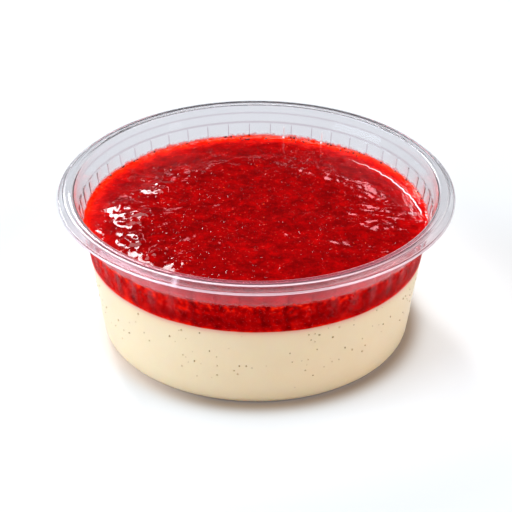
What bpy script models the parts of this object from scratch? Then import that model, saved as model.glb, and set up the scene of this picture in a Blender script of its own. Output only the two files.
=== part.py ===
"""Vanilla panna cotta under a layer of berry coulis, in a clear thermoformed dessert pot with no lid.

Three nodes, each a turned profile: the pot, the cream that fills its lower part, and the coulis on top.
Metres, +Z up. The pot stands on Z = 0 and its axis is Z.
"""

import math

import bpy
import numpy as np

# Driving dimensions.
RIM_RADIUS = 0.0475
POT_HEIGHT = 0.03765
SHEET = 0.0005  # thickness of the formed plastic
BASE_RADIUS = 0.0373  # outside of the wall, carried down to the table
WALL_DRAFT = 0.149  # radius that the wall gains for each metre of height
CREAM_LEVEL = 0.02184
COULIS_LEVEL = 0.02901
GAP = 0.0003  # clearance between neighbouring solids

# The foot: a rounded corner round a base that is pressed up in the middle.
FOOT_ROUNDING = 0.00215
FLOOR_TOP = 0.0010
PUSH_UP = 0.0005
PUSH_UP_RADIUS = 0.0328
PUSH_UP_SLOPE = 0.0006
FOOT_POINTS = 4

# The rim: a flat flange, a skirt that hangs from it, and a lip that turns out at the skirt's foot.
FLANGE_INNER_RADIUS = 0.04347
FLANGE_OUTER_RADIUS = 0.04616
LIP_BOTTOM = 0.03586
LIP_THICKNESS = 0.0003
LIP_WIDTH = 0.00065

# The wall steps out twice under the flange. The lower step is the shelf on which the flutes end.
UPPER_STEP_HEIGHT = 0.03545
UPPER_STEP_RADIUS = 0.04293
SHELF_HEIGHT = 0.03318
SHELF_RADIUS = 0.04180

# The flutes: panels that bulge out between sharp ridges, deepest at the top and gone at the cream.
FLUTES = 48
FLUTE_DEPTH = 0.00038
FLUTE_TOP = SHELF_HEIGHT - 0.0006
FLUTE_FOOT = CREAM_LEVEL - 0.0003
FIRST_RIDGE = math.radians(2.5)

# The coulis: poured flat, with the slow folds that the spoon left in it.
COULIS_RINGS = 7
FOLD_HEIGHT = 0.00035
FOLD_LENGTH = 0.027
FOLD_BEND = 0.9

STEPS_PER_FLUTE = 3
POT_STEPS = FLUTES * STEPS_PER_FLUTE
FILLING_STEPS = 72
WELD = 0.00001


def clear_scene():
    for obj in list(bpy.data.objects):
        bpy.data.objects.remove(obj, do_unlink=True)


def plastic_or_food(name, colour, roughness, transmission=0.0, alpha=1.0):
    """A Principled material, for a part of the pot or of what it holds."""
    material = bpy.data.materials.new(name)
    material.use_nodes = True
    shader = material.node_tree.nodes["Principled BSDF"]
    shader.inputs["Base Color"].default_value = (*colour, 1.0)
    shader.inputs["Roughness"].default_value = roughness
    shader.inputs["Metallic"].default_value = 0.0
    shader.inputs["Transmission Weight"].default_value = transmission
    shader.inputs["Alpha"].default_value = alpha
    return material


def wall_radius(height, inset):
    """Radius of the wall's cone at a height, this far in from its outer face, measured square to it."""
    return BASE_RADIUS + WALL_DRAFT * height - inset * math.hypot(1.0, WALL_DRAFT)


def foot_arc(inset, floor):
    """Points of the rounded corner between the wall and a floor, from the wall down to the floor."""
    rounding = FOOT_ROUNDING - inset
    centre_height = floor + rounding
    centre_radius = wall_radius(centre_height, inset + rounding)
    first = -math.atan(WALL_DRAFT)
    last = -math.pi / 2
    points = []
    for step in range(FOOT_POINTS):
        angle = first + (last - first) * step / (FOOT_POINTS - 1)
        points.append(
            (
                centre_radius + rounding * math.cos(angle),
                centre_height + rounding * math.sin(angle),
            )
        )
    return points


def turned(name, profile, steps, material, collection):
    """An object turned from (radius, height) points by a Screw modifier, with both ends on the axis."""
    mesh = bpy.data.meshes.new(name)
    points = [(radius, 0.0, height) for radius, height in profile]
    edges = [(index, index + 1) for index in range(len(points) - 1)]
    mesh.from_pydata(points, edges, [])
    obj = bpy.data.objects.new(name, mesh)
    collection.objects.link(obj)
    screw = obj.modifiers.new("Turn", "SCREW")
    screw.axis = "Z"
    screw.angle = 2 * math.pi
    screw.steps = steps
    screw.render_steps = steps
    screw.use_merge_vertices = True
    screw.merge_threshold = WELD
    screw.use_smooth_shade = True
    obj.data.materials.append(material)
    return obj


def reshape(obj, move):
    """Freezes the turned mesh and passes its points, an array of x, y, z rows, through a function."""
    graph = bpy.context.evaluated_depsgraph_get()
    mesh = bpy.data.meshes.new_from_object(obj.evaluated_get(graph))
    points = np.empty(len(mesh.vertices) * 3)
    mesh.vertices.foreach_get("co", points)
    mesh.vertices.foreach_set("co", move(points.reshape(-1, 3)).ravel())
    mesh.update()
    obj.modifiers.clear()
    obj.data = mesh


def smooth(obj):
    obj.data.shade_smooth()
    obj.data.set_sharp_from_angle(angle=math.radians(30))


def pot_profile():
    """The pot's section: up the inside from the axis, over the rim, and down the outside to the axis."""
    inside_foot = foot_arc(SHEET, FLOOR_TOP)[::-1]
    outside_foot = foot_arc(0.0, 0.0)
    inside = [
        (0.0, FLOOR_TOP),
        *inside_foot,
        (wall_radius(FLUTE_FOOT, SHEET), FLUTE_FOOT),
        (wall_radius(FLUTE_TOP, SHEET), FLUTE_TOP),
        (SHELF_RADIUS, SHELF_HEIGHT),
        (UPPER_STEP_RADIUS, UPPER_STEP_HEIGHT),
        (FLANGE_INNER_RADIUS, POT_HEIGHT),
    ]
    lip_top = LIP_BOTTOM + LIP_THICKNESS
    rim = [
        (FLANGE_OUTER_RADIUS, POT_HEIGHT),
        (RIM_RADIUS - LIP_WIDTH, lip_top),
        (RIM_RADIUS, lip_top),
        (RIM_RADIUS, LIP_BOTTOM),
        (RIM_RADIUS - LIP_WIDTH - SHEET, LIP_BOTTOM),
        (FLANGE_OUTER_RADIUS - SHEET, POT_HEIGHT - SHEET),
        (FLANGE_INNER_RADIUS + SHEET, POT_HEIGHT - SHEET),
    ]
    outside = [
        (UPPER_STEP_RADIUS + SHEET, UPPER_STEP_HEIGHT),
        (SHELF_RADIUS + SHEET, SHELF_HEIGHT),
        (wall_radius(FLUTE_TOP, 0.0), FLUTE_TOP),
        (wall_radius(FLUTE_FOOT, 0.0), FLUTE_FOOT),
        *outside_foot,
        (PUSH_UP_RADIUS, 0.0),
        (PUSH_UP_RADIUS - PUSH_UP_SLOPE, PUSH_UP),
        (0.0, PUSH_UP),
    ]
    return inside + rim + outside


def press_flutes(points):
    """Moves the wall out between the ridges by depth x |sin(half the flute count x angle)|."""
    angle = np.arctan2(points[:, 1], points[:, 0]) - FIRST_RIDGE
    radius = np.hypot(points[:, 0], points[:, 1])
    depth = np.interp(
        points[:, 2],
        [FLUTE_FOOT, FLUTE_TOP, SHELF_HEIGHT],
        [0.0, FLUTE_DEPTH, 0.0],
    )
    bulge = depth * np.abs(np.sin(FLUTES / 2 * angle))
    pressed = points.copy()
    pressed[:, :2] *= ((radius + bulge) / np.maximum(radius, WELD))[:, None]
    return pressed


def cream_profile():
    """The cream's section: from the axis out along its top, down the wall and back along the floor."""
    level = CREAM_LEVEL - GAP / 2
    inset = SHEET + GAP
    return [
        (0.0, level),
        (wall_radius(level, inset), level),
        *foot_arc(inset, FLOOR_TOP + GAP),
        (0.0, FLOOR_TOP + GAP),
    ]


def coulis_profile():
    """The coulis's section: rings across its top for the folds, then down the wall to the cream."""
    bottom = CREAM_LEVEL + GAP / 2
    inset = SHEET + GAP
    edge = wall_radius(COULIS_LEVEL, inset)
    top = [(edge * ring / COULIS_RINGS, COULIS_LEVEL) for ring in range(COULIS_RINGS + 1)]
    return [*top, (wall_radius(bottom, inset), bottom), (0.0, bottom)]


def fold_top(points):
    """Raises and lowers the coulis's top in bent waves that die away at the wall."""
    x, y = points[:, 0], points[:, 1]
    edge = wall_radius(COULIS_LEVEL, SHEET + GAP)
    reach = 1.0 - (np.hypot(x, y) / edge) ** 4
    turn = 2 * math.pi / FOLD_LENGTH
    wave = np.sin(turn * y + FOLD_BEND * np.sin(turn * 0.5 * x)) + np.sin(turn * 0.7 * x - FOLD_BEND * y * turn)
    on_top = points[:, 2] > COULIS_LEVEL - WELD
    folded = points.copy()
    folded[:, 2] += np.where(on_top, FOLD_HEIGHT * reach * wave / 2, 0.0)
    return folded


def build():
    clear_scene()
    collection = bpy.data.collections.new("panna_cotta_in_pot")
    bpy.context.scene.collection.children.link(collection)

    clear_plastic = plastic_or_food("clear_plastic", (0.93, 0.93, 0.95), 0.06, 0.9, 0.35)
    vanilla_cream = plastic_or_food("vanilla_cream", (0.90, 0.78, 0.60), 0.45)
    red_coulis = plastic_or_food("red_coulis", (0.48, 0.004, 0.006), 0.12)

    pot = turned("pot", pot_profile(), POT_STEPS, clear_plastic, collection)
    cream = turned("panna_cotta", cream_profile(), FILLING_STEPS, vanilla_cream, collection)
    coulis = turned("berry_coulis", coulis_profile(), FILLING_STEPS, red_coulis, collection)
    reshape(pot, press_flutes)
    reshape(cream, np.copy)
    reshape(coulis, fold_top)
    for obj in (pot, cream, coulis):
        smooth(obj)


build()
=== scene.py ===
import math

import bpy
import numpy as np
from mathutils import Matrix, Quaternion, Vector


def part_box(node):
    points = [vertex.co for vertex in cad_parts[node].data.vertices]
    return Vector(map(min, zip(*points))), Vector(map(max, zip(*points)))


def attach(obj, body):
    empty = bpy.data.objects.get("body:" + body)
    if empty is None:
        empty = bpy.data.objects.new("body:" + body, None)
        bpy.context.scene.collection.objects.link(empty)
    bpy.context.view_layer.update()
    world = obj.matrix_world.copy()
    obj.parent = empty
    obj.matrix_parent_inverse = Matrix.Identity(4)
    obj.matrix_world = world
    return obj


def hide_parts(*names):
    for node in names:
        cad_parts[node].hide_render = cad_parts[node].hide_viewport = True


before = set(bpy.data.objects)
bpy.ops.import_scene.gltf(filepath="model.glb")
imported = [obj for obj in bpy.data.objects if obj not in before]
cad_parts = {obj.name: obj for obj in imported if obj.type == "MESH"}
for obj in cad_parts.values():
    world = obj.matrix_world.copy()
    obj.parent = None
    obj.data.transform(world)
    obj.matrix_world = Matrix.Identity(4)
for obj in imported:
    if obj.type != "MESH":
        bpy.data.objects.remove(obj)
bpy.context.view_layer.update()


# --- The clear pot -------------------------------------------------------------------------------
# A dessert pot drawn out of one sheet of clear PET: a pressed-up base, a leaning wall that is fluted
# in its upper part, two steps, and a flange with a skirt whose foot turns out as a lip. One closed
# surface, the sheet's section turned round the axis, with the flutes pressed into both of its skins.

pot_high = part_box("pot")[1]
RIM_RADIUS = pot_high.x
POT_HEIGHT = pot_high.z
SHEET = 0.0005
BASE_RADIUS = 0.0373  # outside of the wall, carried down to the table
WALL_DRAFT = 0.149  # radius that the wall gains for each metre of height
FOOT_ROUNDING = 0.0019
FLOOR_MIDDLE = 0.00075
PUSH_UP_RADIUS = 0.0330
LEDGE = (0.04224, 0.03325)  # radius and height of the sheet's middle where the flutes end
UPPER_STEP = (0.04318, 0.03545)
FLANGE_INNER_RADIUS = 0.04372
FLANGE_OUTER_RADIUS = 0.04585
FLANGE_GROOVE = (0.04470, 0.00008)  # where it runs, and how deep it is
LIP_HEIGHT = 0.03630
LIP_ROOT_RADIUS = 0.04660
COULIS_LEVEL = 0.02901
FLUTES = 48
FLUTE_DEPTH = 0.00027
FLUTE_TOP = 0.0327
FLUTE_FOOT = 0.0212
FLUTE_RIDGE = 0.08  # how blunt the ridges are, where 0 is sharp
FIRST_RIDGE = math.radians(2.5)
WALL_SPACING = 0.0060  # greatest distance between rows of points in the plain parts of the sheet
FLUTE_SPACING = 0.0011  # and in its fluted part
PANEL_STEPS = (0.0, 0.03, 0.075, 0.16, 0.32, 0.5, 0.68, 0.84, 0.925, 0.97)  # closest at the ridges
NIB_ANGLE = math.radians(247.6)  # where the mould left a nick in the flange
NIB_WIDTH = 0.011  # as an angle too
NIB_WHITENESS = 0.26
# How white the painted highlight along the lip's cut edge is.
CUT_EDGE_HIGHLIGHT = 0.60
# Rings of the flange with a painted highlight: radius, half-width and how white.
HIGHLIGHT_RINGS = ((0.04372, 0.00018, 0.62), (0.04580, 0.00025, 0.62), (0.04660, 0.00017, 0.30))
# Where the painted red light from the coulis comes and goes in the plastic: from one of each pair to
# the other.
RED_LIGHT_REACH = (0.010, 0.040)  # distance from the axis towards the near side
UNDER_LIP_END = (0.0336, 0.0350)  # these three are heights
STREAK_FOOT = (0.0235, 0.0285)
STREAK_END = (0.0330, 0.0345)
# Pairs of colours: on most of the rim, and on its near side, with painted red light from the coulis.
FLAT_TINTS = ((0.74, 0.725, 0.75, 1.0), (0.86, 0.68, 0.73, 1.0))
EDGE_TINTS = ((0.28, 0.26, 0.31, 1.0), (0.80, 0.46, 0.53, 1.0))
# White haze that also carries the painted highlights, and its pink on the near side.
WHITE_HAZE_AND_HIGHLIGHT = ((0.95, 0.90, 0.93, 1.0), (0.98, 0.74, 0.80, 1.0))
DULL_HAZE = ((0.46, 0.44, 0.49, 1.0), (0.90, 0.56, 0.64, 1.0))


def wall_radius(height, inset):
    """Radius of the wall's cone at a height, this far in from its outer face."""
    return BASE_RADIUS + WALL_DRAFT * height - inset * math.hypot(1.0, WALL_DRAFT)


def flute_bulge(angle, height):
    """How far a panel stands out: depth, rising from the flutes' foot to their top, x blunted |sin|."""
    depth = np.interp(height, [FLUTE_FOOT, FLUTE_TOP, LEDGE[1]], [0.0, FLUTE_DEPTH, 0.0])
    swing = np.sin(FLUTES / 2 * (angle - FIRST_RIDGE))
    return depth * (np.sqrt(swing**2 + FLUTE_RIDGE**2) - FLUTE_RIDGE)


def rounded_path(corners, pieces=6):
    """Points along straight runs joined by arcs. A corner is (distance out, height, rounding)."""
    path = [np.array([corners[0][:2]])]
    for before, corner, after in zip(corners, corners[1:], corners[2:]):
        here = np.array(corner[:2])
        back = np.array(before[:2]) - here
        onward = np.array(after[:2]) - here
        back /= np.linalg.norm(back)
        onward /= np.linalg.norm(onward)
        half = math.acos(np.clip(back @ onward, -1, 1)) / 2
        middle = (back + onward) / np.linalg.norm(back + onward)
        centre = here + middle * corner[2] / math.sin(half)
        sweep = np.linspace(-1, 1, pieces)[:, None] * (math.pi / 2 - half)
        across = onward - back
        across /= np.linalg.norm(across)
        path.append(centre + corner[2] * (np.sin(sweep) * across - np.cos(sweep) * middle))
    path.append(np.array([corners[-1][:2]]))
    return np.concatenate(path)


def thickened(path, thickness, end_pieces=7):
    """The closed section of a sheet: the path moved half its thickness each way, its far end round."""
    along = np.gradient(path, axis=0)
    along /= np.linalg.norm(along, axis=1)[:, None]
    left = np.stack([-along[:, 1], along[:, 0]], 1) * thickness / 2
    turn = np.linspace(0, math.pi, end_pieces)[1:-1, None]
    end = path[-1] - np.cos(turn) * left[-1] + np.sin(turn) * along[-1] * thickness / 2
    return np.concatenate([path - left, end, (path + left)[::-1]])


def filled_in(path, spacing):
    """The path with points added, so that no run is longer than the spacing (or its own spacing)."""
    runs = np.linalg.norm(np.diff(path, axis=0), axis=1)
    counts = np.maximum(np.ceil(runs / spacing).astype(int), 1)
    starts = np.repeat(np.arange(len(runs)), counts)
    shares = np.concatenate([np.arange(n) / n for n in counts])[:, None]
    return np.concatenate([path[starts] * (1 - shares) + path[starts + 1] * shares, path[-1:]])


def round_axis(radius, height, angle):
    """Points at these radii, heights and angles round the axis: x = r cos a and y = r sin a."""
    return np.stack([radius * np.cos(angle), radius * np.sin(angle), height + 0 * angle], -1)


def smooth_mesh(name, points, *faces):
    """A smooth mesh of an array of points and arrays of faces, each face a row of point numbers."""
    rows = [face for array in faces for face in array.reshape(-1, array.shape[-1]).tolist()]
    mesh = bpy.data.meshes.new(name)
    mesh.from_pydata(points.reshape(-1, 3).tolist(), [], rows)
    mesh.shade_smooth()
    return mesh


def turned_mesh(name, radius, height, angle):
    """A closed surface of rows turned round the axis, with a point on the axis at each end."""
    ring = round_axis(radius, height, angle)
    rows, columns = ring.shape[:2]
    poles = np.array([[0, 0, ring[0, :, 2].mean()], [0, 0, ring[-1, :, 2].mean()]])
    points = np.concatenate([ring.reshape(-1, 3), poles])
    index = np.arange(rows * columns).reshape(rows, columns)
    after = np.roll(index, -1, axis=1)
    quads = np.stack([index[:-1], after[:-1], after[1:], index[1:]], -1)
    first = np.stack([np.full(columns, rows * columns), after[0], index[0]], -1)
    last = np.stack([np.full(columns, rows * columns + 1), index[-1], after[-1]], -1)
    return smooth_mesh(name, points, quads, first, last)


def add_values(mesh, name, values):
    """Stores one number for each point of the mesh, for its material to read."""
    attribute = mesh.attributes.new(name, "FLOAT", "POINT")
    attribute.data.foreach_set("value", np.asarray(values, np.float32).ravel())


def piece(name, mesh, material, slot, *stands_for):
    """Adds an object for a finished mesh, riding on the root body and standing for CAD nodes."""
    obj = bpy.data.objects.new(name, mesh)
    bpy.context.scene.collection.objects.link(obj)
    mesh.materials.append(material)
    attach(obj, "root")
    if stands_for:
        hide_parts(*stands_for)


class Wire:
    """One output of a material's nodes. Arithmetic on it adds Math nodes, and node() adds any other."""

    def __init__(self, tree, socket=None):
        self.tree = tree
        self.socket = socket

    def node(self, kind, settings, values, output=0):
        made = self.tree.nodes.new(kind)
        for name, value in settings.items():
            if name == "stops":
                self.set_stops(made.color_ramp, value)
            else:
                setattr(made, name, value)
        for key, value in values.items():
            if isinstance(value, Wire):
                self.tree.links.new(value.socket, made.inputs[key])
            else:
                made.inputs[key].default_value = value
        return Wire(self.tree, made.outputs[output])

    @staticmethod
    def set_stops(ramp, stops):
        while len(ramp.elements) < len(stops):
            ramp.elements.new(1.0)
        for element, (place, colour) in zip(ramp.elements, stops):
            element.position = place
            element.color = (*colour, 1.0)

    def maths(self, operation, first, second=0.0):
        return self.node("ShaderNodeMath", {"operation": operation}, {0: first, 1: second})

    def __add__(self, other):
        return self.maths("ADD", self, other)

    def __sub__(self, other):
        return self.maths("SUBTRACT", self, other)

    def __rsub__(self, other):
        return self.maths("SUBTRACT", other, self)

    def __mul__(self, other):
        return self.maths("MULTIPLY", self, other)

    __radd__ = __add__
    __rmul__ = __mul__

    def clamped(self):
        return self.node("ShaderNodeClamp", {}, {"Value": self})

    def between(self, low, high):
        """0 below low, 1 above high, and smooth between them."""
        return self.node(
            "ShaderNodeMapRange",
            {"interpolation_type": "SMOOTHSTEP"},
            {"Value": self, "From Min": low, "From Max": high},
        )

    def near(self, middle, reach):
        """1 at the middle, falling to 0 a reach away on either side."""
        return self.between(middle - reach, middle) - self.between(middle, middle + reach)

    def axis(self, name):
        """One coordinate of a place."""
        return self.node("ShaderNodeSeparateXYZ", {}, {"Vector": self}, name)

    def out(self):
        """How far a place is from the axis of the pot."""
        flat = self.node("ShaderNodeCombineXYZ", {}, {"X": self.axis("X"), "Y": self.axis("Y")})
        return self.node("ShaderNodeVectorMath", {"operation": "LENGTH"}, {0: flat}, "Value")

    def stored(self, name):
        """A value that the mesh stores for each of its points."""
        return self.node("ShaderNodeAttribute", {"attribute_name": name}, {}, "Fac")

    def noise(self, place, size, detail=2.0, roughness=0.5):
        """Noise of features about this size, in metres, from 0 to 1."""
        values = {"Vector": place, "Scale": 1.0 / size, "Detail": detail, "Roughness": roughness}
        return self.node("ShaderNodeTexNoise", {}, values)

    def mixed(self, share, first, second):
        """The first colour where share is 0, and the second where it is 1."""
        colours = {0: share, 6: first, 7: second}
        return self.node("ShaderNodeMix", {"data_type": "RGBA"}, colours, 2)

    def bump(self, height, distance):
        """A normal tilted as by a relief of this height, from 0 to 1, over this distance."""
        return self.node("ShaderNodeBump", {}, {"Height": height, "Distance": distance})

    def shader(self, values):
        return self.node("ShaderNodeBsdfPrincipled", {}, values)


def new_material(name):
    """An empty material: a wire in its nodes, its Object coordinates and its output node."""
    material = bpy.data.materials.new(name)
    material.use_nodes = True
    tree = material.node_tree
    tree.nodes.clear()
    wire = Wire(tree)
    place = wire.node("ShaderNodeTexCoord", {}, {}, "Object")
    output = tree.nodes.new("ShaderNodeOutputMaterial")
    return material, wire, place, output


def show(wire, output, shader):
    wire.tree.links.new(shader.socket, output.inputs["Surface"])


def sheet_tint(wire, place, dry, turned_away, painted_red_light, inner_band):
    """What the sheet does to the light in it: clearest where it is wet inside, greyer where it is dry,
    with painted dark lines along the flutes' ridges and the far steps, darkest where the rim turns
    away, and with painted red light from the coulis on the near side."""
    height = place.axis("Z")
    far = place.axis("Y").between(-0.005, 0.020)
    # Painted shade: dark lines along the ridges and, on the far side, along the steps.
    steps = height.near(LEDGE[1], 0.00030) * 0.75 + height.near(UPPER_STEP[1], 0.00028) * 0.55
    lines = (wire.stored("ridge") * dry + steps * far).clamped()
    wall = wire.mixed(dry, (0.97, 0.965, 0.965, 1.0), (0.72, 0.705, 0.73, 1.0))
    wall = wire.mixed(lines, wall, (0.46, 0.36, 0.40, 1.0))
    rim = wire.mixed(turned_away, wire.mixed(painted_red_light, *FLAT_TINTS), wire.mixed(painted_red_light, *EDGE_TINTS))
    tint = wire.mixed(wire.stored("flange"), wall, rim)
    return wire.mixed(inner_band, tint, (0.82, 0.38, 0.44, 1.0))


def sheet_haze_and_light(wire, place, dry, turned_away, painted_red_light, inner_band, facing):
    """Colour and thickness of the haze over the sheet, most of it painted light: a faint haze where the
    sheet is dry, painted white highlights round the rim's corners and along the lip's cut edge, the
    nick's whiteness, faint painted lines along the wet ridges, and on the near side painted red light
    from the coulis behind it: under the lip, in the rim's inner band, on its turned-away edges, and in
    a streak along each ridge of the flutes."""
    along, depth, height = place.axis("X"), place.axis("Y"), place.axis("Z")
    across = wire.maths("ABSOLUTE", along)
    bearing = wire.maths("ARCTAN2", depth, along)
    swing = wire.maths("SINE", (bearing - FIRST_RIDGE) * (FLUTES / 2))
    # Painted red light in a streak along each ridge of the flutes, on the near side.
    streak = (1 - wire.maths("ABSOLUTE", swing).between(0.0, 0.85)) * across.between(0.012, 0.032)
    streak = streak * height.between(*STREAK_FOOT) * (1 - height.between(*STREAK_END))
    streak = streak * (1 - depth.between(-0.004, 0.004))
    above_coulis = height.between(COULIS_LEVEL + 0.0005, COULIS_LEVEL + 0.0012)
    # Painted red light from the coulis under the lip, on the near side.
    under_lip = (above_coulis - height.between(*UNDER_LIP_END)) * painted_red_light
    under_lip = under_lip * (across.between(0.008, 0.034) * 0.65 + 0.30)
    off_corner = 1 - place.out().near(0.04375, 0.00022)
    colour = wire.mixed(turned_away, wire.mixed(painted_red_light, *WHITE_HAZE_AND_HIGHLIGHT), wire.mixed(painted_red_light, *DULL_HAZE))
    colour = wire.mixed(inner_band * off_corner, colour, (0.48, 0.11, 0.16, 1.0))
    colour = wire.mixed(under_lip.between(0.0, 0.1), colour, (1.0, 0.24, 0.28, 1.0))
    colour = wire.mixed(streak.between(0.0, 0.5), colour, (1.0, 0.24, 0.27, 1.0))
    # A faint painted line along each wet ridge.
    wet_ridge = wire.stored("ridge") * (1 - dry) * facing.between(0.25, 0.85)
    # Painted red light on the near rim's turned-away edges.
    near_edge = turned_away * painted_red_light * wire.stored("flange")
    share = dry * 0.002 + wire.stored("whitened") + wet_ridge * 0.04 + near_edge * 0.30
    share = share + inner_band * 0.25 + under_lip * 0.34 + streak * 0.13
    return colour, share.clamped()


def clear_plastic():
    """Clear PET: bends light as a solid sheet, faintly wavy and scuffed, hazy in places, with painted
    highlights on its rim, and lets lamps through. On its near side red light from the coulis is painted
    in."""
    material, wire, place, output = new_material("clear_pet")
    height = place.axis("Z")
    # How much painted red light from the coulis the near side gets.
    painted_red_light = (place.axis("Y") * -1).between(*RED_LIGHT_REACH)
    dry = height.between(COULIS_LEVEL, COULIS_LEVEL + 0.0006)
    facing = wire.node("ShaderNodeLayerWeight", {}, {"Blend": 0.5}, "Facing")
    turned_away = facing.between(0.70, 0.96)
    # Painted red light in the rim's inner band on the near side.
    inner_band = painted_red_light * (1 - place.out().between(0.0446, 0.0450)) * height.between(0.0358, 0.0362)
    scuffs = wire.noise(place, 0.0012, 3.0, 0.6).between(0.62, 0.80)
    body = wire.shader(
        {
            "Base Color": sheet_tint(wire, place, dry, turned_away, painted_red_light, inner_band),
            "Roughness": scuffs * 0.05 + 0.012,
            "IOR": 1.54,
            "Alpha": 0.12 + dry * 0.88,
            "Transmission Weight": 1.0,
            "Specular Tint": (0.10, 0.10, 0.10, 1.0),
            "Normal": wire.bump(wire.noise(place, 0.014, 1.0), 0.00010),
        }
    )
    haze_and_light_colour, share = sheet_haze_and_light(wire, place, dry, turned_away, painted_red_light, inner_band, facing)
    # The haze shader carries the painted highlights and painted red light as well as a faint real haze.
    haze = wire.shader({"Base Color": haze_and_light_colour, "Metallic": 0.4, "Roughness": 0.3})
    edged = wire.node("ShaderNodeMixShader", {}, {0: share, 1: body, 2: haze})
    open_to_lamps = wire.node("ShaderNodeBsdfTransparent", {}, {"Color": (0.93, 0.93, 0.935, 1.0)})
    lamp_ray = wire.node("ShaderNodeLightPath", {}, {}, "Is Shadow Ray")
    soft_ray = wire.node("ShaderNodeLightPath", {}, {}, "Is Diffuse Ray")
    soft = wire.node("ShaderNodeMixShader", {}, {0: soft_ray, 1: edged, 2: open_to_lamps})
    whole = wire.node("ShaderNodeMixShader", {}, {0: lamp_ray, 1: soft, 2: open_to_lamps})
    show(wire, output, whole)
    return material


ring_height = SHEET / 2
flange_height = POT_HEIGHT - SHEET / 2
pot_path = rounded_path(
    [
        (0.0, FLOOR_MIDDLE, 0.0),
        (PUSH_UP_RADIUS - 0.0005, FLOOR_MIDDLE, 0.0006),
        (PUSH_UP_RADIUS, ring_height, 0.0005),
        (wall_radius(ring_height, SHEET / 2), ring_height, FOOT_ROUNDING),
        (wall_radius(FLUTE_TOP, SHEET / 2), FLUTE_TOP, 0.0005),
        (*LEDGE, 0.0008),
        (*UPPER_STEP, 0.0008),
        (FLANGE_INNER_RADIUS, flange_height, 0.00050),
        (FLANGE_GROOVE[0] - 0.0004, flange_height, 0.0004),
        (FLANGE_GROOVE[0], flange_height - FLANGE_GROOVE[1], 0.0004),
        (FLANGE_GROOVE[0] + 0.0004, flange_height, 0.0004),
        (FLANGE_OUTER_RADIUS, flange_height, 0.0007),
        (LIP_ROOT_RADIUS, LIP_HEIGHT, 0.0003),
        (RIM_RADIUS - SHEET / 2, LIP_HEIGHT, 0.0003),
        (RIM_RADIUS - SHEET / 2, LIP_HEIGHT - 0.0003, 0.0),
    ]
)
pot_path = filled_in(pot_path, WALL_SPACING)
pot_path = filled_in(pot_path, np.where(pot_path[1:, 1] > FLUTE_FOOT, FLUTE_SPACING, WALL_SPACING))
pot_section = thickened(pot_path, SHEET)
pot_section = pot_section[pot_section[:, 0] > 1e-6]  # turned_mesh adds the points on the axis
panel = 2 * math.pi / FLUTES
around = FIRST_RIDGE + (np.arange(FLUTES)[:, None] + PANEL_STEPS).ravel() * panel
section_radius = pot_section[:, :1]
section_height = pot_section[:, 1:]
pot_mesh = turned_mesh(
    "clear_pot",
    section_radius + flute_bulge(around, section_height),
    section_height,
    around,
)
in_cut_edge = (section_radius > RIM_RADIUS - 0.0005) & (section_height < LIP_HEIGHT + 0.0002)
in_flange = np.clip((section_radius - 0.0440) / 0.0004, 0, 1)
upper_skin = np.arange(len(section_radius))[:, None] > len(section_radius) / 2
# Painted highlights along the lip's cut edge and on rings round the flange's corners, on the upper
# skin, stronger towards the front. The nick's whiteness is stored with them.
white = CUT_EDGE_HIGHLIGHT * in_cut_edge
for ring_radius, half_width, strength in HIGHLIGHT_RINGS:
    ring = np.exp(-(((section_radius - ring_radius) / half_width) ** 2))
    white = white + strength * ring * upper_skin
towards_front = 0.60 - 0.40 * np.sin(around)
white = white * (section_height > 0.0355) * towards_front
nib = np.exp(-(((around - NIB_ANGLE) / NIB_WIDTH) ** 2)) * (section_radius > 0.0450)
# Painted dark lines along the flutes' ridges, stored for the material.
at_ridge = (np.arange(len(around)) % len(PANEL_STEPS) == 0) * (section_height > FLUTE_FOOT + 0.001)
dark_lines = at_ridge * (section_height < FLUTE_TOP)
add_values(pot_mesh, "flange", np.append((in_flange + 0 * around).ravel(), [0, 0]))
add_values(pot_mesh, "whitened", np.append((white + NIB_WHITENESS * nib).ravel(), [0, 0]))
add_values(pot_mesh, "ridge", np.append(dark_lines.ravel(), [0, 0]))
piece("clear_pot", pot_mesh, clear_plastic(), "clear_plastic", "pot")


# --- The cream -----------------------------------------------------------------------------------
# Set vanilla cream, poured into the pot first. It is a solid turned to the inside of the wall, and
# reaches a little way into the sheet so that no air shows between them. Its top is level but for a
# slight waviness where the coulis met it, and the first fraction of a millimetre there is stained.

CREAM_LEVEL = (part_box("panna_cotta")[1].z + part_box("berry_coulis")[0].z) / 2
INTO_WALL = 0.00015
FLOOR_TOP = 0.0010
STAIN_DEPTH = 0.0007
FOOT_INSET = 0.00014
CREAM_SIDE_ROWS = 22
MEETING_CIRCLE = 0.040  # radius of the circle along which the waves of its edge are measured


def smooth_noise(x, y, size, seed):
    """Gradient noise, about -0.7 to 0.7: random slopes at the corners of squares of this size,
    blended across each square by 6t^5 - 15t^4 + 10t^3 both ways."""
    count = 64
    lean = np.random.default_rng(seed).uniform(0, 2 * math.pi, (count, count))
    u, v = x / size, y / size
    i, j = np.floor(u).astype(int), np.floor(v).astype(int)
    u, v = u - i, v - j

    def corner(di, dj):
        angle = lean[(i + di) % count, (j + dj) % count]
        return np.cos(angle) * (u - di) + np.sin(angle) * (v - dj)

    s = u**3 * (u * (6 * u - 15) + 10)
    t = v**3 * (v * (6 * v - 15) + 10)
    low = corner(0, 0) * (1 - s) + corner(1, 0) * s
    high = corner(0, 1) * (1 - s) + corner(1, 1) * s
    return low * (1 - t) + high * t


def noise_round(radius, angle, size, seed):
    """The same noise, along a circle round the axis."""
    return smooth_noise(radius * np.cos(angle), radius * np.sin(angle), size, seed)


def meeting_height(angle):
    """Height of the line on the wall where cream and coulis meet: the level and a slight waviness."""
    wave = 0.00016 * noise_round(MEETING_CIRCLE, angle, 0.009, 11)
    wave = wave + 0.00007 * noise_round(MEETING_CIRCLE, angle, 0.0021, 12)
    return CREAM_LEVEL + wave


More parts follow.
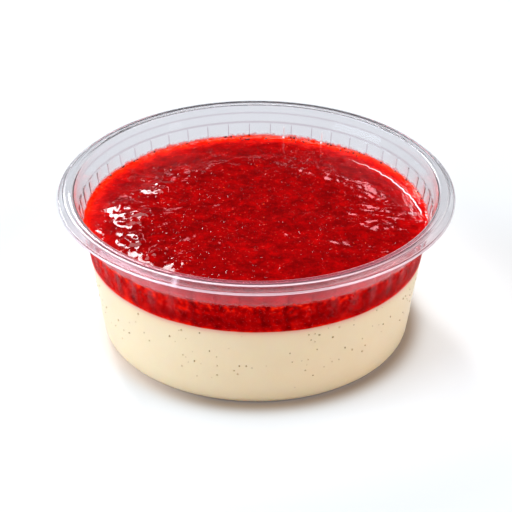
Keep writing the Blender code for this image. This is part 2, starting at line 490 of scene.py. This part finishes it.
def vanilla_cream():
    """Ivory cream: soft light inside it, a faint mottle, and a pink stain under the coulis."""
    material, wire, place, output = new_material("vanilla_cream")
    mottle = wire.noise(place, 0.006, 3.0, 0.55)
    stain = wire.stored("stain")
    ivory = wire.mixed(mottle, (0.900, 0.690, 0.440, 1.0), (0.930, 0.740, 0.500, 1.0))
    colour = wire.mixed(stain.clamped(), ivory, (0.84, 0.17, 0.13, 1.0))
    fine = wire.noise(place, 0.0009, 2.0)
    body = wire.node(
        "ShaderNodeBsdfPrincipled",
        {"subsurface_method": "RANDOM_WALK"},
        {
            "Base Color": colour,
            "Roughness": mottle * 0.1 + 0.38,
            "IOR": 1.36,
            "Subsurface Weight": 0.6,
            "Subsurface Radius": (1.0, 0.7, 0.4),
            "Subsurface Scale": 0.0016,
            "Normal": wire.bump(fine, 0.00003),
        },
    )
    show(wire, output, body)
    return material


cream_inset = SHEET - INTO_WALL
cream_foot = rounded_path(
    [
        (0.0, FLOOR_TOP - INTO_WALL, 0.0),
        (0.9 * PUSH_UP_RADIUS, FLOOR_TOP - INTO_WALL, 0.001),
        (PUSH_UP_RADIUS, FOOT_INSET, 0.001),
        (wall_radius(FOOT_INSET, FOOT_INSET), FOOT_INSET, FOOT_ROUNDING),
        (wall_radius(0.006, FOOT_INSET), 0.006, 0.0),
    ]
)
cream_foot = filled_in(cream_foot, 0.003)[1:]
side_low = cream_foot[-1, 1] + 0.003
side_high = meeting_height(around) + 0.0002
side_height = side_low + (side_high - side_low) * np.linspace(0, 1, CREAM_SIDE_ROWS)[:, None]
side_radius = wall_radius(side_height, cream_inset) + flute_bulge(around, side_height)
lid_share = np.linspace(1, 0, 12)[1:-1, None]
cream_radius = np.concatenate(
    [cream_foot[:, :1] + 0 * around, side_radius, side_radius[-1:] * lid_share]
)
cream_height = np.concatenate(
    [
        cream_foot[:, 1:] + 0 * around,
        side_height,
        CREAM_LEVEL + (side_height[-1:] - CREAM_LEVEL) * lid_share**8,
    ]
)
cream_mesh = turned_mesh("vanilla_cream", cream_radius, cream_height, around)
depth_below = np.append((meeting_height(around) - cream_height).ravel(), [0.01, 0.0])
add_values(cream_mesh, "stain", 0.85 * np.exp(-np.maximum(depth_below, 0) / STAIN_DEPTH))
piece("vanilla_cream", cream_mesh, vanilla_cream(), "vanilla_cream", "panna_cotta")


# --- Vanilla seeds -------------------------------------------------------------------------------
# Specks scraped from the pod, a third of a millimetre across. Those against the wall look dark, and
# those a little way in are veiled by cream. Each is a small stretched ball set in the cream's side.

SEEDS = 330
SEED_RADIUS = 0.00018
BALL_SIDES = 6


def balls_mesh(name, centres, sizes):
    """A mesh of many small balls, and how many points each has: rings of points at three heights and
    two poles, stretched by each ball's own three half-lengths and set at its centre."""
    turn = np.arange(BALL_SIDES) * 2 * math.pi / BALL_SIDES
    tilt = np.radians([-45, 0, 45])[:, None]
    rings = round_axis(np.cos(tilt), np.sin(tilt), turn).reshape(-1, 3)
    shape = np.concatenate([rings, [[0, 0, -1], [0, 0, 1]]])
    index = np.arange(3 * BALL_SIDES).reshape(3, BALL_SIDES)
    after = np.roll(index, -1, axis=1)
    lower = np.stack([index[:-1], after[:-1], after[1:]], -1).reshape(-1, 3)
    upper = np.stack([index[:-1], after[1:], index[1:]], -1).reshape(-1, 3)
    bottom = np.stack([after[0], index[0], np.full(BALL_SIDES, 3 * BALL_SIDES)], -1)
    top = np.stack([index[-1], after[-1], np.full(BALL_SIDES, 3 * BALL_SIDES + 1)], -1)
    faces = np.concatenate([lower, upper, bottom, top])
    offsets = (np.arange(len(centres)) * len(shape))[:, None, None]
    points = centres[:, None] + shape * sizes[:, None]
    return smooth_mesh(name, points, faces + offsets), len(shape)


def seed_speck():
    """Dark brown where a seed touches the wall, nearly cream where it lies deeper."""
    material, wire, place, output = new_material("vanilla_seed")
    veil = wire.stored("veil")
    grain = wire.noise(place, 0.0002, 1.0)
    brown = wire.mixed(grain, (0.27, 0.130, 0.040, 1.0), (0.48, 0.28, 0.11, 1.0))
    body = wire.shader(
        {
            "Base Color": wire.mixed(veil, brown, (0.84, 0.62, 0.36, 1.0)),
            "Roughness": 0.6,
            "Specular IOR Level": 0.1,
        }
    )
    show(wire, output, body)
    return material


scatter = np.random.default_rng(5)
seed_angle = scatter.uniform(0, 2 * math.pi, SEEDS)
seed_height = 0.0016 + (CREAM_LEVEL - 0.0026) * scatter.uniform(0, 1, SEEDS) ** 0.9
seed_size = SEED_RADIUS * scatter.uniform(0.6, 1.5, SEEDS)[:, None]
seed_size = seed_size * scatter.uniform(0.8, 1.3, (SEEDS, 3))
seed_radius = wall_radius(seed_height, cream_inset) - 0.00002
seed_centres = round_axis(seed_radius, seed_height, seed_angle)
seeds_mesh, seed_points = balls_mesh("vanilla_seeds", seed_centres, seed_size)
add_values(seeds_mesh, "veil", np.repeat(scatter.uniform(0, 1, SEEDS) ** 0.6 * 0.92, seed_points))
piece("vanilla_seeds", seeds_mesh, seed_speck(), "vanilla_cream")


# --- The berry coulis ----------------------------------------------------------------------------
# Cooked and sieved berries, spooned over the set cream: glossy, full of fine pulp, and lying in the
# folds and dollops that the spoon left. It clings to the wall in a ragged edge, which is thin and
# carries a painted glow, and along one side it has slumped a little way off the wall, with a painted
# highlight line along the crease.

COULIS_INSET = cream_inset - 0.00002
TOP_GRID = 264
SIDE_ROWS = 20
EDGE_CIRCLE = 0.041  # radius of the circle along which the edge's waves are measured
SLUMP_CIRCLE = 0.038  # and the slump's
CLING_WIDTH = 0.0017
TEETH_WIDTH = 0.0006
CALM_WIDTH = 0.0024
SLUMP_WIDTH = 0.00055
SLUMP_REACH = 0.010
# Width of the painted highlight line along the slump's crease.
HIGHLIGHT_LINE_WIDTH = 0.00016
SLUMP_PLACES = np.radians([-4, 3, 12, 19, 33, 48, 57])  # where its line runs, round the pot
HEAP_HEIGHT = 0.0013
HEAP_FLAT = 0.020  # how far out the heap in the middle begins to fall
HEAP_FALL = 0.0215  # and over what distance
TOP_GLOW_WIDTH = 0.0034
EDGE_GLOW_WIDTH = 0.0014
FOOT_GLOW_WIDTH = 0.0006
DOLLOP_STEEPNESS = 0.46  # height over width
DOLLOPS = (  # where each one is, and its width
    (-0.0234, 0.0143, 0.0015),
    (-0.0248, 0.0100, 0.0018),
    (-0.0319, 0.0037, 0.0017),
    (-0.0286, -0.0030, 0.0026),
    (-0.0287, -0.0135, 0.0021),
    (-0.0240, -0.0196, 0.0018),
    (-0.0175, -0.0230, 0.0016),
)


def disc_grid(count):
    """A square grid bent to a unit disc, ring by ring, so that its cells stay about the same size:
    a point's larger coordinate is its distance out, and the other one over it gives the angle."""
    line = np.linspace(-1, 1, count + 1)
    u, v = np.meshgrid(line, line, indexing="ij")
    flat = np.abs(u) >= np.abs(v)
    out = np.where(flat, u, v)
    other = np.where(flat, v, u)
    share = np.divide(other, out, out=np.zeros_like(out), where=out != 0) * math.pi / 4
    x = np.where(flat, out * np.cos(share), out * np.sin(share))
    y = np.where(flat, out * np.sin(share), out * np.cos(share))
    return x, y


def edge_radius(angle, height):
    return wall_radius(height, COULIS_INSET) + flute_bulge(angle, height)


def cling(angle):
    """How far the edge climbs the wall: about half a millimetre, slowly varying along it."""
    return 0.00038 + 0.00024 * noise_round(EDGE_CIRCLE, angle, 0.011, 21)


def teeth(angle):
    """The ragged part of the climb, which dies away close to the wall. It is slight along the slump."""
    ragged = 0.0009 * np.abs(noise_round(EDGE_CIRCLE, angle, 0.0022, 22))
    ragged = ragged + 0.0007 * np.abs(noise_round(EDGE_CIRCLE, angle, 0.0009, 23))
    return ragged * np.interp(angle, SLUMP_PLACES, [1.0, 0.25, 0.25, 0.25, 0.25, 0.25, 1.0])


def mound(x, y):
    """The heap in the middle, and the dollops on one side: rounded humps, each steepness x width x
    e^-(half of (distance / width)^2), measured in a bent plane and broken up by a noise."""
    out = np.hypot(x, y)
    bent_x = x + 0.0016 * smooth_noise(x, y, 0.0040, 31)
    bent_y = y + 0.0016 * smooth_noise(x, y, 0.0040, 32)
    broken = 0.85 + 0.9 * smooth_noise(x, y, 0.0024, 37)
    humps = 0.0
    for hump_x, hump_y, width in DOLLOPS:
        away = (bent_x - hump_x) ** 2 + (bent_y - hump_y) ** 2
        humps = humps + DOLLOP_STEEPNESS * width * np.exp(-away / (2 * width**2))
    fall = np.clip((out - HEAP_FLAT) / HEAP_FALL, 0, 1)
    return HEAP_HEIGHT * (1 - fall**2) + humps * broken


def folds(x, y):
    """Folds, creases, lumps of pulp and grains: a bent noise for each, and the absolute value of one
    for the creases. They are slighter where the heap slumped."""
    bend_x = 0.005 * smooth_noise(x, y, 0.015, 31)
    bend_y = 0.005 * smooth_noise(x, y, 0.015, 32)
    across, along = (x + bend_x) / 1.5, y + bend_y + 0.18 * x
    slow = 0.00036 * smooth_noise(across, along, 0.0080, 33)
    creases = -0.00024 * np.abs(smooth_noise(across, along, 0.0060, 34))
    lumps = 0.00010 * smooth_noise(x + bend_y, y + bend_x, 0.0027, 35)
    grains = 0.00003 * smooth_noise(x, y + bend_x, 0.0012, 36)
    lively = 1 - 0.88 * np.exp(-(((x - 0.028) / 0.012) ** 2) - ((y - 0.012) / 0.014) ** 2)
    return lively * (slow + creases + lumps) + grains


def slump_gap(angle):
    """How far from the wall the slump's line runs: it grows along it and wavers."""
    gap = np.interp(angle, SLUMP_PLACES, [0.0012, 0.0015, 0.0022, 0.0028, 0.0034, 0.0041, 0.0045])
    gap = gap + 0.0007 * np.abs(noise_round(SLUMP_CIRCLE, angle, 0.0032, 24))
    return gap + 0.0003 * noise_round(SLUMP_CIRCLE, angle, 0.0013, 25)


def slump_line(angle, wall_gap):
    """The line where the heap slumped off the wall: a step up by 2 x slope x width towards the wall,
    blended by tanh and dying away inwards."""
    slope = np.interp(angle, SLUMP_PLACES, [0.0, 0.38, 0.48, 0.48, 0.46, 0.44, 0.0])
    step = slope * SLUMP_WIDTH * np.tanh((slump_gap(angle) - wall_gap) / SLUMP_WIDTH)
    return step * np.exp(-((wall_gap / SLUMP_REACH) ** 2))


def coulis_top_height(x, y):
    """The level, the mound and the folds, which are calm near the wall, and the climb up the wall."""
    angle = np.arctan2(y, x)
    wall_gap = np.maximum(edge_radius(angle, COULIS_LEVEL + cling(angle)) - np.hypot(x, y), 0)
    calm = 1 - np.exp(-((wall_gap / CALM_WIDTH) ** 2))
    calmer = 1 - np.exp(-((wall_gap / (2 * CALM_WIDTH)) ** 2))
    climb = cling(angle) * np.exp(-wall_gap / CLING_WIDTH)
    climb = climb + teeth(angle) * np.exp(-((wall_gap / TEETH_WIDTH) ** 2))
    lie = mound(x, y) * calm + folds(x, y) * calmer + slump_line(angle, wall_gap)
    return COULIS_LEVEL + lie + climb


def berry_coulis(name, specular, softness):
    """Deep red, mottled by pulp, with orange flecks that are partly pulp and partly painted glints;
    brighter and more orange under a painted glow at the wall and the cream; pale along a painted
    highlight line."""
    material, wire, place, output = new_material(name)
    thin = wire.stored("thin")
    pulp = wire.noise(place, 0.0032, 4.0, 0.62)
    fibres = wire.noise(place, 0.0011, 2.0, 0.6)
    # Orange specks: partly pulp and partly painted glints.
    flecks_and_glints = wire.noise(place, 0.0006, 1.0).between(0.67, 0.76) * pulp.between(0.38, 0.60)
    tone = (thin + (pulp - 0.5) * 0.80 + (fibres - 0.5) * 0.45).clamped()
    colour = wire.node(
        "ShaderNodeValToRGB",
        {
            "stops": [
                (0.00, (0.180, 0.0002, 0.0006)),
                (0.20, (0.310, 0.0003, 0.0008)),
                (0.42, (0.530, 0.0008, 0.0010)),
                (0.66, (0.860, 0.0060, 0.0004)),
                (1.00, (1.000, 0.0500, 0.0060)),
            ]
        },
        {0: tone},
    )
    colour = wire.mixed(flecks_and_glints * 0.50, colour, (0.95, 0.10, 0.07, 1.0))
    # A painted highlight: a pale line along the slump's crease.
    froth = wire.stored("froth").between(0.25, 0.75)
    colour = wire.mixed(froth, colour, (0.97, 0.80, 0.80, 1.0))
    grains = wire.noise(place, 0.0010, 1.0).between(0.62, 0.80)
    body = wire.node(
        "ShaderNodeBsdfPrincipled",
        {"subsurface_method": "RANDOM_WALK"},
        {
            "Base Color": colour,
            "Roughness": fibres * 0.06 + 0.03,
            "IOR": 1.37,
            "Specular IOR Level": specular,
            "Subsurface Weight": softness,
            "Subsurface Radius": (1.0, 0.08, 0.05),
            "Subsurface Scale": 0.0022,
            "Normal": wire.bump(grains, 0.00005),
        },
    )
    show(wire, output, body)
    return material


def top_tone(angle, wall_gap):
    """The top's tone: 0.14, and near the wall a painted glow x e^-(gap / width)^1.3, which stands in
    for light coming in through the wall. It is weakest at the front, where little light comes in."""
    places = np.radians([-180, -165, -145, -20, 4, 16])
    # Strength of the painted glow round the pot.
    glow = np.interp(angle, places, [0.70, 0.60, 0.32, 0.32, 0.42, 0.70])
    return 0.14 + glow * np.exp(-((wall_gap / TOP_GLOW_WIDTH) ** 1.3))


def highlight_line_share(angle, wall_gap):
    """How strong the painted highlight line is: e^-((gap - the slump's gap) / width)^2, less at its
    ends.
    """
    line = np.exp(-(((wall_gap - slump_gap(angle)) / HIGHLIGHT_LINE_WIDTH) ** 2))
    return line * np.interp(angle, SLUMP_PLACES, [0.0, 1.0, 1.0, 1.0, 0.9, 0.6, 0.0])


def side_tone(angle, height, top, foot):
    """The side's tone: mottled by three noises, with painted shade behind the flutes' ridges, painted
    light on the side towards the window, a patchy painted glow under its edge and a narrow one over
    the cream."""
    arc = EDGE_CIRCLE * angle + 0 * height
    patches = smooth_noise(arc, height, 0.0013, 41) + 0.7 * smooth_noise(arc, height, 0.0006, 42)
    blotches = smooth_noise(arc, 1.4 * height, 0.0030, 43)
    # Painted shade behind the flutes' ridges, and painted light on the side towards the window.
    at_ridge = np.cos(FLUTES / 2 * (angle - FIRST_RIDGE)) ** 8
    tone = 0.26 + 0.18 * blotches + 0.20 * patches - 0.10 * at_ridge
    tone = tone + 0.20 * np.clip(-np.cos(angle) - 0.2, 0, 1)
    # Painted glows: a patchy one under the edge and a narrow one over the cream.
    glow = 0.75 * np.clip(0.42 + 1.5 * patches, 0.0, 1.3)
    tone = tone + glow * np.exp(-(top - height) / EDGE_GLOW_WIDTH)
    return tone + 0.42 * np.exp(-(height - foot) / FOOT_GLOW_WIDTH)


def coulis_mesh():
    """The top is a square grid bent to a disc, whose rings lie closer near the wall: how far in one
    lies is u (1 + u) / 2, for u from 0 at the wall. Rows go down the wall from its outer line, and
    a fan closes the bottom."""
    unit_x, unit_y = disc_grid(TOP_GRID)
    out = np.hypot(unit_x, unit_y)
    angle = np.arctan2(unit_y, unit_x)
    edge = edge_radius(angle, COULIS_LEVEL + cling(angle))
    reach = edge * (1 - (1 - out) * (2 - out) / 2)
    x, y = reach * np.cos(angle), reach * np.sin(angle)
    height = coulis_top_height(x, y)
    index = np.arange(height.size).reshape(height.shape)
    quads = np.stack([index[:-1, :-1], index[1:, :-1], index[1:, 1:], index[:-1, 1:]], -1)
    border = np.concatenate([index[:-1, 0], index[-1, :-1], index[:0:-1, -1], index[0, :0:-1]])

    border_angle = angle.ravel()[border]
    border_height = height.ravel()[border]
    foot = meeting_height(border_angle)
    share = np.linspace(0, 1, SIDE_ROWS + 1)[1:, None]
    side_height = border_height + (foot - border_height) * share
    wall = round_axis(edge_radius(border_angle, side_height), side_height, border_angle)
    side_index = height.size + np.arange(side_height.size).reshape(side_height.shape)
    rings = np.concatenate([border[None], side_index])
    after = np.roll(rings, -1, axis=1)
    wall_quads = np.stack([rings[:-1], rings[1:], after[1:], after[:-1]], -1)
    centre = np.full(len(border), height.size + side_height.size)
    fan = np.stack([rings[-1], centre, after[-1]], -1)

    top = np.stack([x, y, height], -1).reshape(-1, 3)
    points = np.concatenate([top, wall.reshape(-1, 3), [[0, 0, CREAM_LEVEL - 0.0001]]])
    mesh = smooth_mesh("berry_coulis_layer", points, quads, wall_quads, fan)
    top_tone_and_glow = top_tone(angle, edge - reach).ravel()
    side_tone_and_glow = side_tone(border_angle, side_height, border_height, foot).ravel()
    froth = highlight_line_share(angle, edge - reach).ravel()
    # The tone holds the painted glows together with the coulis's own mottling.
    add_values(mesh, "thin", np.concatenate([top_tone_and_glow, side_tone_and_glow, [0.0]]))
    add_values(mesh, "froth", np.append(froth, np.zeros(side_tone_and_glow.size + 1)))
    on_wall = np.arange(len(mesh.polygons)) >= TOP_GRID**2
    mesh.polygons.foreach_set("material_index", on_wall.astype(np.int32))
    return mesh


coulis_red = berry_coulis("berry_coulis", 0.5, 0.35)
coulis_layer_mesh = coulis_mesh()
piece("berry_coulis_layer", coulis_layer_mesh, coulis_red, "red_coulis", "berry_coulis")
coulis_layer_mesh.materials.append(berry_coulis("berry_coulis_against_wall", 0.0, 0.12))


# --- The smear above the edge --------------------------------------------------------------------
# A film of coulis left on the inside of the wall when it was spooned in: a thin closed ring just off
# the sheet, from the coulis's edge to about a millimetre above it, dense below and in specks above.

SMEAR_RISE = 0.0015
SMEAR_ROWS = 12
SMEAR_THICKNESS = 0.00003
SMEAR_GAP = 0.00003  # between it and the sheet
SMEAR_COLUMNS = 960


def film_mesh(name, angle):
    """Rows up the wall's inner face and back down just inside them: radius = inner face - depth."""
    share = np.concatenate([np.linspace(0, 1, SMEAR_ROWS), np.linspace(1, 0, SMEAR_ROWS)])[:, None]
    depth = np.repeat([SMEAR_GAP, SMEAR_GAP + SMEAR_THICKNESS], SMEAR_ROWS)[:, None]
    height = COULIS_LEVEL + 0.8 * cling(angle) + SMEAR_RISE * share
    radius = wall_radius(height, SHEET + depth) + flute_bulge(angle, height)
    index = np.arange(height.size).reshape(height.shape)
    above = np.roll(index, -1, axis=0)
    quads = np.stack([index, np.roll(index, -1, axis=1), np.roll(above, -1, axis=1), above], -1)
    mesh = smooth_mesh(name, round_axis(radius, height, angle), quads)
    add_values(mesh, "fade", (1 - share + 0 * angle).ravel())
    return mesh


def coulis_film():
    """Thin red that lets the wall show: nearly whole at its foot, broken into specks higher up."""
    material, wire, place, output = new_material("coulis_film")
    fade = wire.stored("fade")
    streaks = wire.noise(place, 0.0030, 2.0)
    specks = wire.noise(place, 0.0007, 2.0, 0.6)
    cover = fade * 1.15 + (specks - 0.5) * 1.0 + (streaks - 0.5) * 1.0 - 0.20
    body = wire.shader(
        {
            "Base Color": wire.mixed(fade, (0.93, 0.24, 0.20, 1.0), (0.90, 0.045, 0.020, 1.0)),
            "Roughness": specks * 0.2 + 0.2,
            "Alpha": cover.between(0.0, 1.0) * 0.85,
        }
    )
    show(wire, output, body)
    return material


smear_angle = np.linspace(0, 2 * math.pi, SMEAR_COLUMNS, endpoint=False)
piece("coulis_film", film_mesh("coulis_film", smear_angle), coulis_film(), "red_coulis")


# --- Bubbles and pips ----------------------------------------------------------------------------
# Air worked into the coulis by the spoon stands on it as tiny domes, each of which catches the light
# as a speck. Dark pips gather where the edge clings to the wall, at the ridges of the flutes, and a
# crowd of them floats a millimetre in from it on the far side.

BUBBLES = 60
PIPS = 70
PIP_INSET = 0.00018
PIP_RISE = 0.0001
PIPS_AFLOAT = 17
PIP_CROWD = (math.radians(50), math.radians(112))  # the directions between which it floats

scatter = np.random.default_rng(17)
bubble_angle = scatter.uniform(0, 2 * math.pi, BUBBLES)
bubble_out = 0.0395 * np.sqrt(scatter.uniform(0, 1, BUBBLES))
bubble_x = bubble_out * np.cos(bubble_angle)
bubble_y = bubble_out * np.sin(bubble_angle)
bubble_size = 0.00012 + 0.00016 * scatter.uniform(0, 1, BUBBLES) ** 3
bubble_height = coulis_top_height(bubble_x, bubble_y) - 0.25 * bubble_size
bubble_centres = np.stack([bubble_x, bubble_y, bubble_height], -1)
bubble_sizes = bubble_size[:, None] * np.ones(3)
bubbles_mesh, bubble_points = balls_mesh("coulis_bubbles", bubble_centres, bubble_sizes)
# The bubbles take the bright painted-glow tone, so that each speck of light on them looks orange.
add_values(bubbles_mesh, "thin", np.full(BUBBLES * bubble_points, 0.9))
piece("coulis_bubbles", bubbles_mesh, coulis_red, "red_coulis")


def berry_pip():
    """Nearly black skin of a pip, wet."""
    material, wire, place, output = new_material("berry_pip")
    grain = wire.noise(place, 0.0003, 2.0)
    colour = wire.mixed(grain, (0.020, 0.004, 0.004, 1.0), (0.090, 0.012, 0.010, 1.0))
    show(wire, output, wire.shader({"Base Color": colour, "Roughness": grain * 0.2 + 0.15}))
    return material


at_ridges = FIRST_RIDGE + np.round(scatter.uniform(0, FLUTES, PIPS)) * panel
at_ridges = at_ridges + scatter.normal(0, 0.02, PIPS)
afloat = np.arange(PIPS) < PIPS_AFLOAT
pip_angle = np.where(afloat, scatter.uniform(*PIP_CROWD, PIPS), at_ridges)
pip_out = edge_radius(pip_angle, COULIS_LEVEL) - PIP_INSET
pip_out = pip_out - afloat * scatter.uniform(0.0006, 0.0015, PIPS)
pip_x, pip_y = pip_out * np.cos(pip_angle), pip_out * np.sin(pip_angle)
pip_size = scatter.uniform(0.00014, 0.00026, PIPS) + 0.00003 * afloat
pip_sizes = pip_size[:, None] * scatter.uniform(0.8, 1.25, (PIPS, 3))
pip_height = coulis_top_height(pip_x, pip_y) + PIP_RISE * (1 - afloat)
pips_mesh, _ = balls_mesh("berry_pips", np.stack([pip_x, pip_y, pip_height], -1), pip_sizes)
piece("berry_pips", pips_mesh, berry_pip(), "red_coulis")


# --- Two painted highlights on the wall ----------------------------------------------------------
# Near-white marks painted where two highlights run down the far wall: each a thin streak from the
# shelf to the coulis, ending in a bead. Each is a stretched ball and a round one.

GLINT_STREAK_ANGLES = np.radians([80.1, 66.0])
GLINT_STREAK = (0.0310, 0.00016, 0.0017)  # middle height, half-width, half-length
GLINT_BEAD = (0.0295, 0.00036, 0.00040)


def glint_paint():
    """Nearly white and a little glossy: the colour of the painted highlights."""
    material, wire, place, output = new_material("painted_glint_white")
    mottle = wire.noise(place, 0.0008, 1.0)
    colour = wire.mixed(mottle, (0.90, 0.87, 0.86, 1.0), (0.97, 0.95, 0.94, 1.0))
    show(wire, output, wire.shader({"Base Color": colour, "Roughness": mottle * 0.1 + 0.2}))
    return material


# Painted highlights: a streak and a bead at each of two angles.
glint_height, glint_width, glint_length = np.repeat([GLINT_STREAK, GLINT_BEAD], 2, axis=0).T
glint_angle = np.tile(GLINT_STREAK_ANGLES, 2)
glint_radius = wall_radius(glint_height, SHEET) + flute_bulge(glint_angle, glint_height)
glint_centres = round_axis(glint_radius - 0.5 * glint_width, glint_height, glint_angle)
glint_sizes = np.stack([glint_width, glint_width, glint_length], -1)
wall_glints_mesh, _ = balls_mesh("painted_wall_glints", glint_centres, glint_sizes)
piece("painted_wall_glints", wall_glints_mesh, glint_paint(), "vanilla_cream")


# --- The studio ----------------------------------------------------------------------------------
# A white floor that sweeps up far away, a window-like lamp behind on the left with two dim reddish
# cards beside it for the coulis to reflect, and soft lamps overhead, on either side and in front.

FLOOR_DROP = 0.00004
FLOOR_SIDES = 96
FOOT_RADIUS = 0.0374
SHADOW_WIDTH = 0.0033


def floor_paint():
    """White, a little greyer far off, with the pot's shadow deepest and brownest close to its foot,
    and warm light from the cream in it on the lit side."""
    material, wire, place, output = new_material("white_floor")
    out = wire.node("ShaderNodeVectorMath", {"operation": "LENGTH"}, {0: place}, "Value")
    white = wire.mixed(out.between(0.045, 0.085), (0.82, 0.82, 0.82, 1.0), (0.62, 0.62, 0.62, 1.0))
    steps = (out - FOOT_RADIUS) * (1 / SHADOW_WIDTH)
    shadow = wire.maths("POWER", math.e, steps * steps * -1)
    shaded_side = place.axis("X").between(-0.038, -0.006)
    warmth = shadow * (1 - shaded_side)
    glow = wire.mixed(warmth, (0.20, 0.24, 0.30, 1.0), (0.70, 0.38, 0.20, 1.0))
    shadow = shadow * (shaded_side * 0.85 + 0.15)
    body = wire.shader(
        {
            "Base Color": wire.mixed(shadow, white, (0.33, 0.22, 0.12, 1.0)),
            "Roughness": 1.0,
            "Specular IOR Level": 0.0,
            "Emission Color": glow,
            "Emission Strength": 0.3,
        }
    )
    show(wire, output, body)
    return material


floor_path = rounded_path([(0.0, -FLOOR_DROP, 0), (2.6, -FLOOR_DROP, 0.5), (3.2, 0.55, 0)], 12)
floor_turn = np.linspace(0, 2 * math.pi, FLOOR_SIDES, endpoint=False)
floor_points = round_axis(floor_path[:, :1], floor_path[:, 1:], floor_turn)
floor_index = np.arange(len(floor_path) * FLOOR_SIDES).reshape(-1, FLOOR_SIDES)
floor_next = np.roll(floor_index, -1, axis=1)
floor_faces = np.stack([floor_index[:-1], floor_index[1:], floor_next[1:], floor_next[:-1]], -1)
floor_mesh = smooth_mesh("floor", floor_points, floor_faces)
floor = bpy.data.objects.new("floor", floor_mesh)
floor_mesh.materials.append(floor_paint())
bpy.context.scene.collection.objects.link(floor)


def soft_lamp(name, bearing, elevation, distance, size, radiance, colour=(1.0, 1.0, 1.0), lean=0):
    """A rectangular lamp aimed at the pot. Bearing runs from +Y towards +X; lean turns its top."""
    lamp = bpy.data.lights.new(name, "AREA")
    lamp.shape = "RECTANGLE"
    lamp.size, lamp.size_y = size
    lamp.energy = radiance * math.pi * size[0] * size[1]
    lamp.color = colour
    obj = bpy.data.objects.new(name, lamp)
    bearing, elevation = math.radians(bearing), math.radians(elevation)
    towards = Vector(
        (
            math.sin(bearing) * math.cos(elevation),
            math.cos(bearing) * math.cos(elevation),
            math.sin(elevation),
        )
    )
    obj.location = towards * distance + Vector((0, 0, POT_HEIGHT / 2))
    obj.rotation_mode = "QUATERNION"
    twist = Quaternion((0, 0, 1), math.radians(lean))
    obj.rotation_quaternion = towards.to_track_quat("Z", "Y") @ twist
    bpy.context.scene.collection.objects.link(obj)
    return obj


soft_lamp("window_lamp", -22, 41, 1.2, (0.18, 0.60), 19.0, (0.95, 0.98, 1.0))
right_card = soft_lamp("right_card", 8.0, 22.8, 1.3, (0.046, 0.170), 8.0, (1.0, 0.42, 0.47), 23)
left_card = soft_lamp("left_card", -8, 23.5, 1.3, (0.11, 0.09), 4.8, (1.0, 0.40, 0.45))
for card in (right_card, left_card):
    card.visible_transmission = False
soft_lamp("overhead_lamp", 0, 80, 1.3, (1.4, 0.7), 4.1)
soft_lamp("left_lamp", -106, 27, 1.3, (1.0, 0.8), 6.6, (0.74, 0.885, 1.0))
soft_lamp("right_lamp", 110, 34, 1.4, (1.0, 0.9), 3.8, (1.0, 0.985, 0.965))
soft_lamp("front_lamp", 180, 33, 1.5, (1.6, 0.9), 0.8)

world = bpy.data.worlds.new("studio")
world.use_nodes = True
world.node_tree.nodes["Background"].inputs["Color"].default_value = (0.022, 0.022, 0.024, 1.0)
bpy.context.scene.world = world
bpy.context.scene.view_settings.view_transform = "Standard"

CAMERA_ELEVATION = math.radians(30.785)
CAMERA_ROLL = math.radians(0.17)
CAMERA_DISTANCE = 0.447
CAMERA_LENS = 128.75
AIM_HEIGHT = 0.01786

camera_data = bpy.data.cameras.new("camera")
camera_data.lens = CAMERA_LENS
camera_data.sensor_width = 36.0
camera_data.clip_start = 0.01
camera_data.clip_end = 20.0
camera = bpy.data.objects.new("camera", camera_data)
back = Vector((0, -math.cos(CAMERA_ELEVATION), math.sin(CAMERA_ELEVATION)))
right = Vector((1, 0, 0))
up = back.cross(right)
rolled_right = right * math.cos(CAMERA_ROLL) + up * math.sin(CAMERA_ROLL)
rolled_up = back.cross(rolled_right)
camera.matrix_world = Matrix.Translation(
    Vector((0, 0, AIM_HEIGHT)) + back * CAMERA_DISTANCE
) @ Matrix((rolled_right, rolled_up, back)).transposed().to_4x4()
bpy.context.scene.collection.objects.link(camera)
bpy.context.scene.camera = camera
